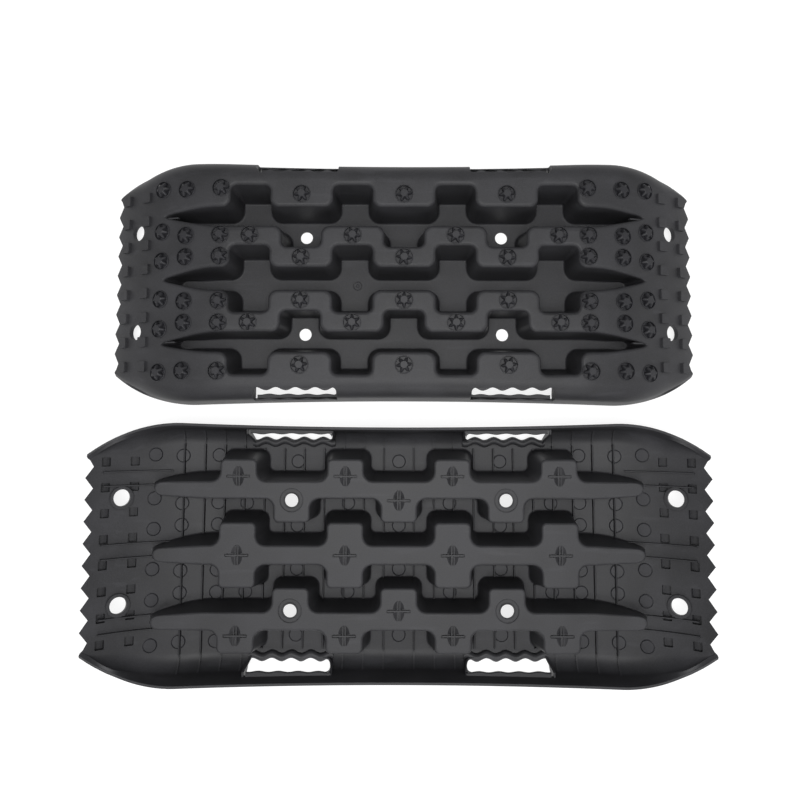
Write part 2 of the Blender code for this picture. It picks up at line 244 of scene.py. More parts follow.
def shoulder(x, depth):
    """Points (y, z) of the +Y shoulder from the deck's edge to the head of the skirt."""
    top = sheet_height(x, depth)
    edge = half_width(x) - SKIRT_LEAN - depth
    radius = max(min(SHOULDER, deck_height(x) - RIM_Z) - depth, THINNEST)
    turns = [i * math.pi / 2 / SHOULDER_STEPS for i in range(SHOULDER_STEPS + 1)]
    return [(edge - radius * (1 - math.sin(a)), top - radius * (1 - math.cos(a))) for a in turns]


def side_section(x):
    """The +Y flange and skirt in section: over the shoulder, round the rim and back up inside."""
    outer, inner = shoulder(x, 0.0), shoulder(x, WALL)
    low = min(rim_height(x), inner[-1][1] - THINNEST)
    foot_y = outer[-1][0] + SKIRT_LEAN
    turn = min(RIM_ROUND, (outer[-1][1] - low) / 3)
    rim = [(foot_y - 0.0001, low + turn), (foot_y - 0.3 * turn, low + 0.3 * turn), (foot_y - turn, low)]
    foot_y -= WALL
    rim += [(foot_y + turn, low), (foot_y + 0.3 * turn, low + 0.3 * turn), (foot_y, low + turn)]
    return outer + rim + inner[::-1]


# ---- outlines of the channels ---------------------------------------------------------------
def rounded(before, corner, after, radius):
    """A square corner between two points, turned into an arc."""
    a, b = (before - corner).normalized(), (after - corner).normalized()
    centre = corner + (a + b) * radius
    turns = [i / CORNER_STEPS * math.pi / 2 for i in range(CORNER_STEPS + 1)]
    return [centre - b * radius * math.cos(t) - a * radius * math.sin(t) for t in turns]


def channel_side(sign, bar, end, arms, level, inset):
    """One long side of a channel from +X to -X: its bar at y = bar and arms out to y = end."""
    bar, end = bar - sign * inset, end - sign * inset
    half = ARM_HALF[level] - inset
    convex = max(ROUND_CONVEX[level] - inset, LEAST_ROUND)
    concave = ROUND_CONCAVE[level] + inset
    points = []
    for x in sorted((arm * PITCH for arm in arms), reverse=True):
        corners = [(x + half + 1, bar), (x + half, bar), (x + half, end)]
        corners += [(x - half, end), (x - half, bar), (x - half - 1, bar)]
        path = [Vector(corner) for corner in corners]
        for i, radius in ((1, concave), (2, convex), (3, convex), (4, concave)):
            points += rounded(path[i - 1], path[i], path[i + 1], radius)
    return points


def finger(high, low, tip_y, level, inset):
    """The +X end of a channel from its +Y side round the tip: round at the foot, pointed at the deck."""
    tip_x = FINGER_TIP_X[level] - inset * (1.0 if level == 0 else 1.3)
    start_half, centre = (high - low) / 2, (high + low) / 2
    sides = []
    for s in (0.0, *FINGER_STEPS):
        taper = start_half + (FINGER_FOOT_HALF - start_half) * s
        half = taper * math.sqrt(1 - s**14) if level == 0 else start_half * (1 - s * s)
        x = FINGER_X + (tip_x - FINGER_X) * s
        sides.append((x, centre + (tip_y - centre) * s, max(half - inset * (1 - s**4), 0.0004)))
    plus = [Vector((x, y + half)) for x, y, half in sides]
    minus = [Vector((x, y - half)) for x, y, half in sides]
    return plus + [Vector((tip_x, tip_y))] + minus[::-1]


def channel_outline(which, level, inset):
    """A whole channel's outline at its foot (level 0) or at the deck (level 1)."""
    if which == "middle":
        high, low, tip = BAR_MIDDLE[level], -BAR_MIDDLE[level], 0.0
        high_side = channel_side(1, high, ARM_MIDDLE[level], ODD_ARMS, level, inset)
        low_side = channel_side(-1, low, -ARM_MIDDLE[level], ODD_ARMS, level, inset)
    else:
        high, low, tip = BAR_SIDE_OUT[level], BAR_SIDE_IN[level], FINGER_TIP_Y[level]
        high_side = channel_side(1, high, ARM_SIDE_OUT[level], ODD_ARMS, level, inset)
        low_side = channel_side(-1, low, ARM_SIDE_IN[level], EVEN_ARMS, level, inset)
    end = finger(high, low, tip, level, inset)
    other_end = [Vector((-point.x, point.y)) for point in reversed(end)]
    return end[::-1] + high_side + other_end[::-1] + low_side[::-1]


def channel_ring(which, mirror, inset, height):
    """Points round a channel's wall where it meets the surface of height(x).

    The wall leans, so a point's x depends on its height and the height on x: a few rounds settle it.
    """
    foot, deck = channel_outline(which, 0, inset), channel_outline(which, 1, inset)
    points = []
    for a, b in zip(foot, deck):
        point = b
        for _ in range(4):
            point = a.lerp(b, height(point.x) / DECK_Z)
        points.append(Vector((point.x, mirror * point.y, height(point.x))))
    return points


CHANNELS = (("middle", 1), ("side", 1), ("side", -1))


def quarter(radius, steps=4):
    """Steps (across, down) round a quarter circle that turns from level to steep."""
    turns = [i / steps * math.pi / 2 for i in range(steps + 1)]
    return [(radius * math.sin(a), radius * (1 - math.cos(a))) for a in turns]


def upper_rings(which, mirror):
    """The channel as seen from above: rounded lip, wall, rounded foot and floor edge."""
    rings = []
    for across, down in quarter(LIP_ROUND):
        inset = WALL - LIP_ROUND + across
        rings.append(channel_ring(which, mirror, inset, lambda x, d=down: deck_height(x) - d))
    for across, down in reversed(quarter(FLOOR_ROUND, 3)):
        inset = WALL + FLOOR_ROUND - across
        rings.append(channel_ring(which, mirror, inset, lambda x, d=down: WALL + d))
    return rings


def lower_rings(which, mirror):
    """The channel as seen from below: a ridge with a rounded root and rounded face edge."""
    rings = []
    for across, down in quarter(ROOT_ROUND, 3):
        inset = across - ROOT_ROUND
        rings.append(channel_ring(which, mirror, inset, lambda x, d=down: sheet_height(x, WALL) - d))
    for across, down in reversed(quarter(RIDGE_ROUND)):
        rings.append(channel_ring(which, mirror, RIDGE_ROUND - across, lambda x, d=down: d))
    return rings


# ---- mesh helpers ---------------------------------------------------------------------------
class Skin:
    """Faces given by the places of their corners; corners in one place become one vertex."""

    def __init__(self):
        self.places, self.points, self.faces = {}, [], []

    def corner(self, point):
        key = tuple(round(c * 1e6) for c in point)
        if key not in self.places:
            self.places[key] = len(self.points)
            self.points.append(tuple(point))
        return self.places[key]

    def face(self, corners):
        ids = [self.corner(point) for point in corners]
        ids = [a for a, b in zip(ids, ids[1:] + ids[:1]) if a != b]
        if len(set(ids)) > 2:
            self.faces.append(ids)

    def strip(self, near, far, closed=True):
        pairs = list(zip(near, far))
        for (a, b), (c, d) in zip(pairs, pairs[1:] + (pairs[:1] if closed else [])):
            self.face((a, c, d, b))

    def loft(self, rings):
        """Joins rings of corners one after another and closes both ends."""
        for near, far in zip(rings, rings[1:]):
            self.strip(near, far)
        self.face(rings[0])
        self.face(rings[-1])

    def mesh(self, name):
        made = bpy.data.meshes.new(name)
        made.from_pydata(self.points, [], self.faces)
        shape = bmesh.new()
        shape.from_mesh(made)
        bmesh.ops.recalc_face_normals(shape, faces=shape.faces)
        shape.to_mesh(made)
        shape.free()
        return made


UP = Vector((0, 0, 1))


def signs(values):
    """The values and their negatives, in order."""
    return sorted({sign * value for value in values for sign in (1, -1)})


def inside(point, loop):
    """True where a point lies inside a closed loop of points."""
    hit = False
    for a, b in zip(loop, loop[1:] + loop[:1]):
        if (a[1] > point[1]) != (b[1] > point[1]):
            if point[0] < a[0] + (b[0] - a[0]) * (point[1] - a[1]) / (b[1] - a[1]):
                hit = not hit
    return hit


def stations():
    """Mesh rows along the board: wide apart on the level deck, close where it bends down."""
    level = [0.0, 0.03, 0.06, 0.09, 0.12, 0.15, FLAT_X]
    count = round((END_X - FLAT_X) / ROW_STEP)
    bent = [FLAT_X + (END_X - FLAT_X) * i / count for i in range(1, count + 1)]
    return signs(level + bent)


def deck_patch(skin, rings, depth):
    """The deck between the channels, at the given depth inside its upper face."""
    rows = stations()
    edge = {x: shoulder(x, depth)[0][0] for x in rows}
    across = [1 - 2 * i / CROSS_STEPS for i in range(1, CROSS_STEPS)]
    far = [(x, edge[x]) for x in rows]
    near = [(x, -edge[x]) for x in reversed(rows)]
    end = [(END_X, edge[END_X] * share) for share in across]
    back = [(-END_X, -edge[END_X] * share) for share in across]
    loops = [far + end + near + back] + [[(p.x, p.y) for p in ring] for ring in rings]
    points, edges = [], []
    for loop in loops:
        start, count = len(points), len(loop)
        points += loop
        edges += [(start + i, start + (i + 1) % count) for i in range(count)]
    holes = [(min(p[0] for p in loop), max(p[0] for p in loop), loop) for loop in loops[1:]]
    guards = []
    for channel in CHANNELS:
        around = channel_ring(*channel, WALL - LIP_ROUND - 0.002, deck_height)
        guards.append([(p.x, p.y) for p in around])
    for x in rows:
        if abs(x) <= FLAT_X or abs(x) >= END_X:
            continue
        for share in across:
            if not any(inside((x, edge[x] * share), guard) for guard in guards):
                points.append((x, edge[x] * share))
    flat, _, triangles, *_ = delaunay_2d_cdt([Vector(p) for p in points], edges, [], 1, 1e-7)
    for triangle in triangles:
        corners = [flat[i] for i in triangle]
        middle = sum(corners, Vector((0, 0))) / 3
        if not any(low < middle.x < high and inside(middle, loop) for low, high, loop in holes):
            skin.face([(c.x, c.y, sheet_height(c.x, depth)) for c in corners])


def sheet_mesh():
    """The whole moulding before its holes: deck, channels, shoulders, skirts and rims."""
    skin = Skin()
    for rings_of, depth in ((upper_rings, 0.0), (lower_rings, WALL)):
        all_rings = [rings_of(*channel) for channel in CHANNELS]
        for rings in all_rings:
            for near, far in zip(rings, rings[1:]):
                skin.strip(near, far)
            skin.face(rings[-1])
        deck_patch(skin, [rings[0] for rings in all_rings], depth)
    rows = stations()
    for side in (1, -1):
        sections = [[Vector((x, side * y, z)) for y, z in side_section(x)] for x in rows]
        for near, far in zip(sections, sections[1:]):
            skin.strip(near, far, closed=False)
    across = [1 - 2 * i / CROSS_STEPS for i in range(1, CROSS_STEPS)]
    for x in (END_X, -END_X):
        wide = {depth: shoulder(x, depth)[0][0] for depth in (0.0, WALL)}
        upper = [Vector((x, -wide[0.0] * t, deck_height(x))) for t in across]
        lower = [Vector((x, wide[WALL] * t, sheet_height(x, WALL))) for t in across]
        flange = [Vector((x, y, z)) for y, z in side_section(x)]
        mirrored = [Vector((x, -y, z)) for y, z in reversed(side_section(x))]
        skin.face(upper + flange + lower + mirrored)
    return skin.mesh("sheet")


# ---- cuts through the sheet -----------------------------------------------------------------
def prism(skin, plan, low, high):
    """Upright prism over a plan of (x, y) points."""
    skin.loft([[Vector((x, y, z)) for x, y in plan] for z in (low, high)])


def circle(radius, sides):
    turns = [2 * math.pi * i / sides for i in range(sides)]
    return [(radius * math.cos(a), radius * math.sin(a)) for a in turns]


def lathe(skin, place, profile, sides=48):
    """Turned shape through (radius, z) points along its axis."""
    rings = []
    for radius, z in profile:
        rings.append([place @ Vector((x, y, z)) for x, y in circle(radius, sides)])
    skin.loft(rings)


def between(low, high, count):
    return [low + (high - low) * i / count for i in range(count + 1)]


def four_places(place):
    """The same place in each quarter of the board."""
    return [(sx * place[0], sy * place[1]) for sx, sy in QUADRANTS]


def tooth_plan():
    """What is cut away past the teeth and the round corners of the +X end."""
    tip_back, tip_side = TOOTH_TIP_EASE
    root_back, root_side = TOOTH_ROOT_EASE
    root_x = TIP_X - TOOTH_DEPTH
    points = [(root_x, 0.0)]
    for k in range(TEETH // 2):
        middle, root = (k + 0.5) * TOOTH_PITCH, (k + 1) * TOOTH_PITCH
        points += [(TIP_X - tip_back, middle - tip_side), (TIP_X, middle)]
        points += [(TIP_X - tip_back, middle + tip_side), (root_x + root_back, root - root_side)]
        points += [(root_x, root), (root_x + root_back, root + root_side)]
    points[-1:] = [(TIP_X + x, CORNER_TIP_Y + y) for x, y in CORNER_TOOTH]
    return points + [CORNER_BACK, (CORNER_BACK[0], PAST_RIM_Y), (PAST_TIP_X, PAST_RIM_Y)]


def slot_wave(x):
    """Y of a hand slot's wavy inner edge."""
    return SLOT_EDGE_Y - SLOT_WAVE * math.cos(2 * math.pi * (x - SLOT_CREST_X) / SLOT_PITCH)


def slot_round(radius):
    """The round end of a hand slot, from its wavy edge out towards the skirt."""
    centre_x = SLOT_X[0] + SLOT_END_ROUND
    return [(centre_x - across, SLOT_END_Y - radius + down) for across, down in quarter(radius, 10)]


def slot_plan():
    """A hand slot from above: wavy inside, one end round and one slanted, open past the skirt."""
    wave = [(x, slot_wave(x)) for x in between(SLOT_X[0] + 0.006, SLOT_X[1], 40)]
    far_x = SLOT_X[1] + SLOT_SLANT
    outer = [(far_x, LEDGE_Y), (far_x, PAST_RIM_Y), (SLOT_X[0], PAST_RIM_Y)]
    return slot_round(SLOT_END_ROUND)[::-1] + wave + outer


def on_deck(x, y, depth=0.0):
    """Place on the deck, or depth inside it, with Z square to the sheet."""
    tilt = Matrix.Rotation(deck_slope(x), 4, "Y")
    return Matrix.Translation((x, y, deck_height(x))) @ tilt @ Matrix.Translation((0, 0, -depth))


def on_ridge(x, y):
    return Matrix.Translation((x, y, 0))


def rounded_box(skin, place, levels, corner):
    """Solid with eased corners through (half x, half y, z) levels."""
    rings = []
    for a, b, z in levels:
        c = min(corner, a / 2, b / 2)
        loop = [(a, b - c), (a - 0.3 * c, b - 0.3 * c), (a - c, b)]
        loop += [(-x, y) for x, y in reversed(loop)]
        loop += [(-x, -y) for x, y in loop]
        rings.append([place @ Vector((u, v, z)) for u, v in loop])
    skin.loft(rings)


def ring(skin, place, inner, outer, low, high):
    """A ring with eased lower edges."""
    ease = min(0.0004, (outer - inner) / 3)
    section = [(inner, low + ease), (inner + ease, low), (outer - ease, low), (outer, low + ease)]
    section += [(outer, high), (inner, high)]
    rings = []
    for u, v in circle(1.0, 48):
        rings.append([place @ Vector((radius * u, radius * v, z)) for radius, z in section])
    for near, far in zip(rings, rings[1:] + rings[:1]):
        skin.strip(near, far)


def cutter_meshes():
    """Meshes to take from the sheet.  Pieces that touch one another are kept apart."""
    teeth, slots, holes, grooves = Skin(), Skin(), Skin(), Skin()
    half = tooth_plan()
    whole = half + [(x, -y) for x, y in reversed(half[1:])]
    for side in (1, -1):
        prism(teeth, [(side * x, y) for x, y in whole], BELOW_Z, ABOVE_Z)
    for sx, sy in QUADRANTS:
        prism(slots, [(sx * x, sy * y) for x, y in slot_plan()], SLOT_FLOOR_Z, ABOVE_Z)
    for x, y in four_places(PIN_HOLE):
        lathe(holes, on_ridge(x, y), [(PIN_BORE, BELOW_Z), (PIN_BORE, ABOVE_Z)])
        ring(grooves, on_ridge(x, y), *PIN_MOAT, -0.002, 0.0009)
    for x, y in four_places(END_HOLE):
        lathe(holes, on_deck(x, y, WALL / 2), [(END_BORE, -0.006), (END_BORE, 0.006)])
    step = WALL / 2 - STUD_POCKET - 0.0003
    socket = [(STUD_SHANK, -0.005), (STUD_SHANK, step), (STUD_SEAT, step), (STUD_SEAT, 0.004)]
    for x, y in stud_places():
        lathe(holes, on_deck(x, y, WALL / 2), socket, 36)
    a, b = POCKET_SIZE[0] / 2, POCKET_SIZE[1] / 2
    for x, y in block_places():
        rounded_box(holes, on_deck(x, y, WALL), ((a, b, -0.004), (a, b, WALL + 0.002)), 0.0008)
    stretch = Matrix.Diagonal((MARK_SIZE[0] / 2, MARK_SIZE[1] / 2, MARK_DEPTH, 1))
    for x, y in MARK_SITES:
        lathe(holes, on_ridge(x, y) @ stretch, MARK_BOWL, 44)
        rounded_box(grooves, on_ridge(x, y), MARK_GROOVE, 0.0010)
    named = {"teeth": teeth, "slots": slots, "holes": holes, "grooves": grooves}
    return [skin.mesh(name) for name, skin in named.items()]


def evaluated(thing):
    """The object's mesh with its modifiers applied."""
    graph = bpy.context.evaluated_depsgraph_get()
    return bpy.data.meshes.new_from_object(thing.evaluated_get(graph))


def cut(mesh, cutters):
    """The mesh less the cutters, as a new mesh."""
    target = bpy.data.objects.new("target", mesh)
    bpy.context.scene.collection.objects.link(target)
    tools = []
    for cutter in cutters:
        tool = bpy.data.objects.new("tool", cutter)
        bpy.context.scene.collection.objects.link(tool)
        modifier = target.modifiers.new("cut", "BOOLEAN")
        modifier.operation = "DIFFERENCE"
        modifier.solver = "EXACT"
        modifier.object = tool
        tools.append(tool)
    made = evaluated(target)
    for helper in [target, *tools]:
        bpy.data.objects.remove(helper)
    return made


def set_on_floor(mesh):
    """Flattens what reaches below the ridge faces, which is the undersides of the tooth tips."""
    for vertex in mesh.vertices:
        vertex.co.z = max(vertex.co.z, 0.0)
    return mesh


# ---- pieces added to the sheet --------------------------------------------------------------
def ridge_edges():
    """Outlines of the ridges where they meet the underside of the deck, a little outside them."""
    edges = []
    for channel in CHANNELS:
        points = channel_ring(*channel, -RIB_GAP, lambda x: sheet_height(x, WALL))
        edges.append([(p.x, p.y) for p in points])
    return edges


def clear_runs(x, limit, edges):
    """Stretches (low y, high y) of the underside at x that no ridge covers."""
    runs, run = [], []
    for y in between(-limit, limit, RIB_CELLS) + [None]:
        if y is not None and not any(inside((x, y), edge) for edge in edges):
            run.append(y)
            continue
        if len(run) > 3:
            runs.append((run[0], run[-1]))
        run = []
    return runs


def rib(skin, x, ends, depth):
    """A low rib across the underside at x, from one y of ends to the other."""
    under, half, ease = sheet_height(x, WALL), RIB_THICK / 2, 0.0005
    root, low = under + 0.0012, under - depth
    section = [(-half, root), (-half, low + ease), (ease - half, low)]
    section += [(half - ease, low), (half, low + ease), (half, root)]
    lean = math.tan(deck_slope(x))
    skin.loft([[Vector((x + dx, y, z - dx * lean)) for dx, z in section] for y in ends])


def rib_end(skin, x, side, depth):
    """A rib's end, turned down inside the skirt and fading out along it."""
    near = [Vector((x, side * y, z + 0.001)) for y, z in shoulder(x, WALL)]
    far = []
    for i, point in enumerate(near):
        share = i / SHOULDER_STEPS
        turn = share * math.pi / 2
        reach = depth - (depth + 0.0004) * share**2
        far.append(point + Vector((0, -side * math.sin(turn), -math.cos(turn))) * reach)
    half = Vector((RIB_THICK / 2, 0, 0))
    for a, b, c, d in zip(near, near[1:], far, far[1:]):
        skin.strip([v - half for v in (a, b, d, c)], [v + half for v in (a, b, d, c)])


def cross_ribs():
    """Low ribs across the underside, stopped by the ridges and turned down inside the skirt."""
    skin = Skin()
    edges = ridge_edges()
    for x in signs([RIB_FIRST + k * RIB_STEP for k in range(RIB_COUNT)]):
        depth = min(RIB_DEPTH, max(RIB_SHARE * sheet_height(x, WALL), RIB_SHALLOW))
        at_slot = SLOT_X[0] - 0.004 < abs(x) < SLOT_X[1] + 0.004
        limit = RIB_SLOT_Y if at_slot else shoulder(x, WALL)[0][0]
        for ends in clear_runs(x, limit, edges):
            rib(skin, x, ends, depth)
        if not at_slot:
            for side in (1, -1):
                rib_end(skin, x, side, depth)
    return skin.mesh("cross_ribs")


def sweep(skin, path, section):
    """Carries (across, up) points along a path of (point, across direction, up direction)."""
    rings = []
    for point, across, up in path:
        rings.append([point + across * a + up * b for a, b in section])
    skin.loft(rings)


def grips():
    """Rounded wavy bars along the inner edges of the hand slots."""
    skin = Skin()
    half = GRIP_WIDTH / 2 - 0.0001
    top, low = DECK_Z - WALL + 0.0008, DECK_Z - GRIP_DEPTH
    section = [(half, top), (-half, top)]
    for turn in between(0.0, math.pi, 10):
        section.append((-half * math.cos(turn), low + half * (1 - math.sin(turn))))
    for sx, sy in QUADRANTS:
        path = []
        for x in between(SLOT_X[0] - 0.002, SLOT_X[1] + 0.002, 60):
            middle = Vector((sx * x, sy * (slot_wave(x) - GRIP_WIDTH / 2), 0))
            path.append((middle, Vector((0, sy, 0)), UP))
        sweep(skin, path, section)
    return skin.mesh("grips")


def under_height(x, y):
    """Height of the sheet's underside at (x, y), shoulder included."""
    radius = SHOULDER - WALL
    past = min(max(y - (half_width(x) - SKIRT_LEAN - WALL - radius), 0.0), radius * 0.999)
    return sheet_height(x, WALL) - radius + math.sqrt(radius**2 - past**2)


def end_wall(skin, path, sx, sy):
    """An upright wall along a path, its foot falling from the grip's to the ledge's."""
    grip_foot, ledge_foot, grip_y = DECK_Z - GRIP_DEPTH, SLOT_FLOOR_Z - LEDGE_DEPTH, 0.112
    rings = []
    for i, (x, y) in enumerate(path):
        before, after = path[max(i - 1, 0)], path[min(i + 1, len(path) - 1)]
        along = (Vector(after) - Vector(before)).normalized()
        side = Vector((along.y, -along.x)) * END_WALL_HALF
        fall = min(max((y - grip_y) / (LEDGE_Y - grip_y), 0.0), 1.0)
        low = grip_foot + (ledge_foot - grip_foot) * fall
        high = max(under_height(x, y) + 0.0012, low + 0.002)
        section = [(-1, high), (-1, low + 0.0005), (-0.6, low), (0.6, low), (1, low + 0.0005), (1, high)]
        rings.append([Vector((sx * (x + t * side.x), sy * (y + t * side.y), z)) for t, z in section])
    skin.loft(rings)


def slot_end_walls():
    """Walls between grip and rim at both ends of every hand slot: one end round, one slanted."""
    skin = Skin()
    near_x, far_x = SLOT_X
    arc = slot_round(SLOT_END_ROUND + END_WALL_HALF)
    round_end = [(near_x + SLOT_END_ROUND + 0.004, arc[0][1]), *arc]
    round_end.append((arc[-1][0], half_width(near_x) - END_WALL_CLEAR))
    slant = [(far_x - 0.001, slot_wave(far_x) - 0.004), (far_x + 0.0008, slot_wave(far_x))]
    slant.append((far_x + SLOT_SLANT + 0.0010, LEDGE_Y))
    slant.append((far_x + SLOT_SLANT + 0.0012, half_width(far_x) - END_WALL_CLEAR))
    for sx, sy in QUADRANTS:
        for path in (round_end, slant):
            end_wall(skin, path, sx, sy)
    return skin.mesh("slot_end_walls")


def ledges():
    """The rim's ledge below each hand slot, its edge faintly waved and one end filled round."""
    skin = Skin()
    ease, wave, fill_y = 0.0006, 0.0006, LEDGE_Y + 0.0004
    reach = half_width(SLOT_X[0]) - LEDGE_CLEAR - LEDGE_Y
    section = [(0.0, ease - LEDGE_DEPTH), (0.0, -ease), (ease, 0.0), (reach, 0.0)]
    section += [(reach, -LEDGE_DEPTH), (ease, -LEDGE_DEPTH)]
    fill = []
    for across, down in quarter(SLOT_END_ROUND, 8):
        fill.append((SLOT_X[0] + SLOT_END_ROUND - across, fill_y - down))
    fill += [slot_round(SLOT_END_ROUND)[-1], (SLOT_X[0], fill_y)]
    for sx, sy in QUADRANTS:
        path = []
        for x in between(SLOT_X[0] - 0.001, SLOT_X[1] + 0.001, 50):
            y = LEDGE_Y + wave * math.cos(2 * math.pi * (x - SLOT_CREST_X) / SLOT_PITCH)
            path.append((Vector((sx * x, sy * y, SLOT_FLOOR_Z)), Vector((0, sy, 0)), UP))
        sweep(skin, path, section)
        corner = [(sx * x, sy * y) for x, y in fill]
        prism(skin, corner, SLOT_FLOOR_Z - LEDGE_DEPTH, SLOT_FLOOR_Z)
    return skin.mesh("ledges")


def hole_collars():
    """Low collars under the end holes, and raised rings round the pin holes above and below."""
    skin = Skin()
    for x, y in four_places(END_HOLE):
        ring(skin, on_deck(x, y, WALL), END_BORE - 0.0001, COLLAR_RADIUS, -0.0026, 0.0010)
    for x, y in four_places(PIN_HOLE):
        ring(skin, on_ridge(x, y), PIN_BORE + 0.0001, PIN_BORE + 0.0012, -0.0004, 0.0012)
        ring(skin, on_ridge(x, y), COLLAR_RADIUS - 0.0008, COLLAR_RADIUS, -0.0004, 0.0012)
        ring(skin, on_ridge(x, y), PIN_BORE + 0.0008, PIN_BORE + 0.0017, 0.0024, 0.0034)
    return skin.mesh("hole_collars")


def mark_crosses():
    """A cross over each dish in the ridge faces: one bar along the ridge and a pair across it."""
    skin = Skin()
    for x, y in MARK_SITES:
        for dx, a, b, top in MARK_BARS:
            levels = ((a, b, MARK_BAR_ROOT), (a, b, top + 0.0003), (a - 0.0002, b - 0.0002, top))
            rounded_box(skin, on_ridge(x + dx, y), levels, 0.0004)
    return skin.mesh("mark_crosses")


def block_places():
    return [(x, y) for x in signs(BLOCK_X) for y in signs(BLOCK_Y)]


def tread_blocks():
    """Low oblong blocks on the sloping ends, each over a square pocket in the underside."""
    skin = Skin()
    a, b = BLOCK_SIZE[0] / 2, BLOCK_SIZE[1] / 2
    c, d = POCKET_SIZE[0] / 2, POCKET_SIZE[1] / 2
    levels = [(c, d, POCKET_DEPTH - WALL), (c, d, -0.0006), (a, b, -0.0006), (a, b, 0.0)]
    levels += [(a - 0.0002, b - 0.0002, BLOCK_RISE - 0.0004), (a - 0.0006, b - 0.0006, BLOCK_RISE)]
    for x, y in block_places():
        rounded_box(skin, on_deck(x, y), levels, 0.0010)
    return skin.mesh("tread_blocks")


def finger_ribs():
    """Pairs of low ribs that run on from each ridge's finger to the sloping end."""
    skin = Skin()
    half, low, ease = 0.0008, -0.0038, 0.0004
    section = [(-half, 0.0), (half, 0.0), (half, low + ease), (half - 0.0003, low)]
    section += [(0.0003 - half, low), (-half, low + ease)]
    for sx in (1, -1):
        for centre in (0.0, FINGER_RIB_Y, -FINGER_RIB_Y):
            for off in (-FINGER_RIB_HALF, FINGER_RIB_HALF):
                path = []
                for x in between(*FINGER_RIB_X, 16):
                    root = Vector((sx * x, centre + off, sheet_height(x, WALL) + 0.0008))
                    path.append((root, Vector((0, 1, 0)), deck_normal(sx * x)))
                sweep(skin, path, section)
    return skin.mesh("finger_ribs")


def end_lips():
    """The thickened edge along the teeth, seen from below."""
    skin = Skin()
    half = [p for p in tooth_plan() if p[1] < CORNER_TIP_Y - 0.002][:-1]
    plan = sorted({(x - 0.0004, side * y) for x, y in half for side in (1, -1)}, key=lambda p: p[1])
    section = [(0.0003, 0.0), (0.0003, -0.0006), (0.0030, -0.0006), (0.0034, 0.0)]
    for sx in (1, -1):
        path = []
        for x, y in plan:
            edge = Vector((sx * x, y, max(sheet_height(x, WALL), 0.0003) + 0.0006))
            inwards = Vector((-sx * math.cos(deck_slope(x)), 0, math.sin(deck_slope(x))))
            path.append((edge, inwards, deck_normal(sx * x)))
        sweep(skin, path, section)
    return skin.mesh("end_lips")


def floor_ring():
    """Two plain moulded rings, one in the other, on the middle channel's floor."""
    skin = Skin()
    upside_down = Matrix.Translation((-0.051, 0.0, 0)) @ Matrix.Diagonal((1, 1, -1, 1))
    ring(skin, upside_down, 0.0041, 0.0050, -0.0039, -0.0028)
    ring(skin, upside_down, 0.0012, 0.0020, -0.0036, -0.0028)
    return skin.mesh("floor_ring")


# ---- studs ----------------------------------------------------------------------------------
def stud_places():
    return [(x, y) for x0, y0 in STUD_SITES for x in signs([x0]) for y in signs([y0])]


def stud_mesh():
    """One stud: plug through the sheet, raised ring, sunk pockets, six-finned cone and flat top."""
    foot = [
        (STUD_PLUG - 0.0004, -WALL - 0.0009),
        (STUD_PLUG, -WALL - 0.0005),
        (STUD_PLUG, -WALL + 0.0006),
        (STUD_SHANK, -WALL + 0.0009),
        (STUD_SHANK, -STUD_POCKET - 0.0002),
        (STUD_SEAT, -STUD_POCKET - 0.0002),
        (STUD_SEAT, 0.0001),
        (STUD_RING, 0.0001),
        (STUD_RING, 0.0006),
        (STUD_RING - 0.0003, 0.0009),
        (STUD_SEAT - 0.0001, 0.0009),
        (STUD_SEAT - 0.0004, 0.0005),
        (STUD_SEAT - 0.0005, -STUD_POCKET),
    ]
    cone = [       # (z, radius on a fin, radius between fins)
        (-STUD_POCKET, 0.0083, 0.0046),
        (0.0008, 0.0082, 0.0045),
        (0.0018, 0.0075, 0.0044),
        (0.0030, 0.0063, 0.0042),
        (0.0040, 0.0050, 0.0041),
        (0.0045, 0.0043, 0.0040),
    ]
    top = [(0.0039, 0.0047), (0.0036, STUD_RISE)]
    turns = [2 * math.pi * i / STUD_SIDES for i in range(STUD_SIDES)]
    fins = [abs(math.cos(STUD_FINS / 2 * a)) ** STUD_FIN_SHARPNESS for a in turns]
    rings = [[Vector((x, y, z)) for x, y in circle(radius, STUD_SIDES)] for radius, z in foot]
    for z, fin, valley in cone:
        radii = [valley + (fin - valley) * share for share in fins]
        rings.append([Vector((r * math.cos(a), r * math.sin(a), z)) for r, a in zip(radii, turns)])
    rings += [[Vector((x, y, z)) for x, y in circle(radius, STUD_SIDES)] for radius, z in top]
    skin = Skin()
    skin.loft(rings)
    return skin.mesh("stud")


# ---- finishes -------------------------------------------------------------------------------
def srgb(text):
    """Linear colour of an sRGB hex value."""
    parts = [int(text[i : i + 2], 16) / 255 for i in (1, 3, 5)]
    return [c / 12.92 if c <= 0.04045 else ((c + 0.055) / 1.055) ** 2.4 for c in parts] + [1.0]


def add_node(tree, kind, settings=(), links=()):
    """Adds a node, sets its properties and inputs, and links (input, output) pairs into it."""
    node = tree.nodes.new(kind)
    for name, value in dict(settings).items():
        if name in node.inputs:
            node.inputs[name].default_value = value
        else:
            setattr(node, name, value)
    for name, output in dict(links).items():
        tree.links.new(output, node.inputs[name])
    return node


CLOUD_SIZE = 0.045                  # patches where the melt flowed
DRAG_SIZE = (0.070, 0.009, 0.009)   # paler streaks along the board


